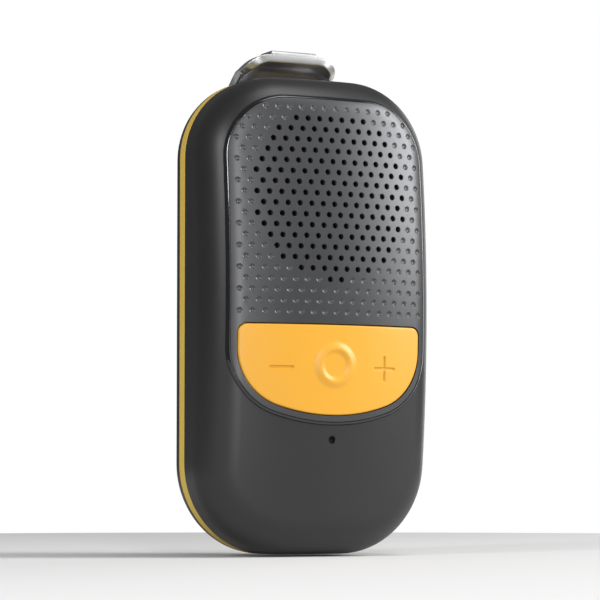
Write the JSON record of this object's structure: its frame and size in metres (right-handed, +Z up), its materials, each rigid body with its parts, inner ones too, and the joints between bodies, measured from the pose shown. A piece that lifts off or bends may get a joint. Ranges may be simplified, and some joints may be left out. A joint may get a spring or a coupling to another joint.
{
  "type": "clip-on voice amplifier",
  "caption": "Pocket voice amplifier: domed housing, perforated panel, three flush keys under a bezel, microphone hole and sprung belt clip.",
  "frame": {"origin": "middle of the flat underside, on the plane where the front shell meets the coloured band", "axes": "+Z up along the housing, +Y to the back where the belt clip is, +X to the right seen from the front"},
  "size_m": [0.049, 0.0302, 0.0995],
  "materials": {
    "shell": "fine satin moulded dark grey plastic",
    "band": "satin moulded amber yellow plastic",
    "seal": "black silicone",
    "screw": "plated steel",
    "bezel": "gloss black plastic",
    "panel": "satin dark grey paint, fine grain",
    "key_skin": "satin amber yellow silicone",
    "switch": "stamped steel and moulded base",
    "board": "green solder mask",
    "cloth": "black woven acoustic cloth",
    "foam": "closed-cell foam",
    "basket": "black coated steel",
    "magnet": "sintered magnet",
    "yoke": "zinc plated steel",
    "coil": "enamelled wire",
    "cone": "moulded film",
    "surround": "black rubber",
    "mic": "drawn aluminium can",
    "chassis": "moulded plastic",
    "battery": "blue shrink sleeve",
    "chip": "black moulding compound",
    "port": "nickel plated steel",
    "lead": "insulated wire",
    "bracket": "stainless steel",
    "spring": "spring steel",
    "clip": "satin stainless steel"
  },
  "bodies": {
    "housing": {"front_shell": "shell", "colour_band": "band", "rear_shell": "shell", "housing_seal": "seal", "housing_screws": "screw", "bezel_ring": "bezel", "grille_panel": "panel", "key_membrane": "key_skin", "minus_switch": "switch", "centre_switch": "switch", "plus_switch": "switch", "key_board": "board", "dust_cloth": "cloth", "speaker_gasket": "foam", "speaker_basket": "basket", "speaker_magnet": "magnet", "speaker_yoke": "yoke", "voice_coil": "coil", "speaker_cone": "cone", "speaker_surround": "surround", "dust_cap": "cone", "mic_capsule": "mic", "mic_boot": "surround", "chassis": "chassis", "battery_pad": "foam", "battery_pack": "battery", "main_board": "board", "amplifier_chip": "chip", "charge_port": "port", "port_tongue": "chip", "battery_leads": "lead", "speaker_leads": "lead", "clip_bracket": "bracket", "bracket_screws": "screw", "clip_pin": "screw", "clip_spring": "spring"},
    "minus": {"minus_key": "key_skin"},
    "centre": {"centre_key": "key_skin"},
    "plus": {"plus_key": "key_skin"},
    "clip": {"belt_clip": "clip", "clip_pad": "surround"}
  },
  "joints": [
    {"name": "minus_press", "type": "slide", "parent": "housing", "child": "minus", "axis": [0, 1, 0], "range_m": [0, 0.0004], "stiffness_N_per_m": 400, "springref_m": -0.001},
    {"name": "centre_press", "type": "slide", "parent": "housing", "child": "centre", "axis": [0, 1, 0], "range_m": [0, 0.0004], "stiffness_N_per_m": 400, "springref_m": -0.001},
    {"name": "plus_press", "type": "slide", "parent": "housing", "child": "plus", "axis": [0, 1, 0], "range_m": [0, 0.0004], "stiffness_N_per_m": 400, "springref_m": -0.001},
    {"name": "clip_hinge", "type": "hinge", "parent": "housing", "child": "clip", "pos_m": [0, 0.0099, 0.084], "axis": [1, 0, 0], "range_deg": [0, 17], "stiffness_Nm_per_rad": 0.12, "springref_deg": -68.75, "deforming": ["clip_spring"]}
  ]
}
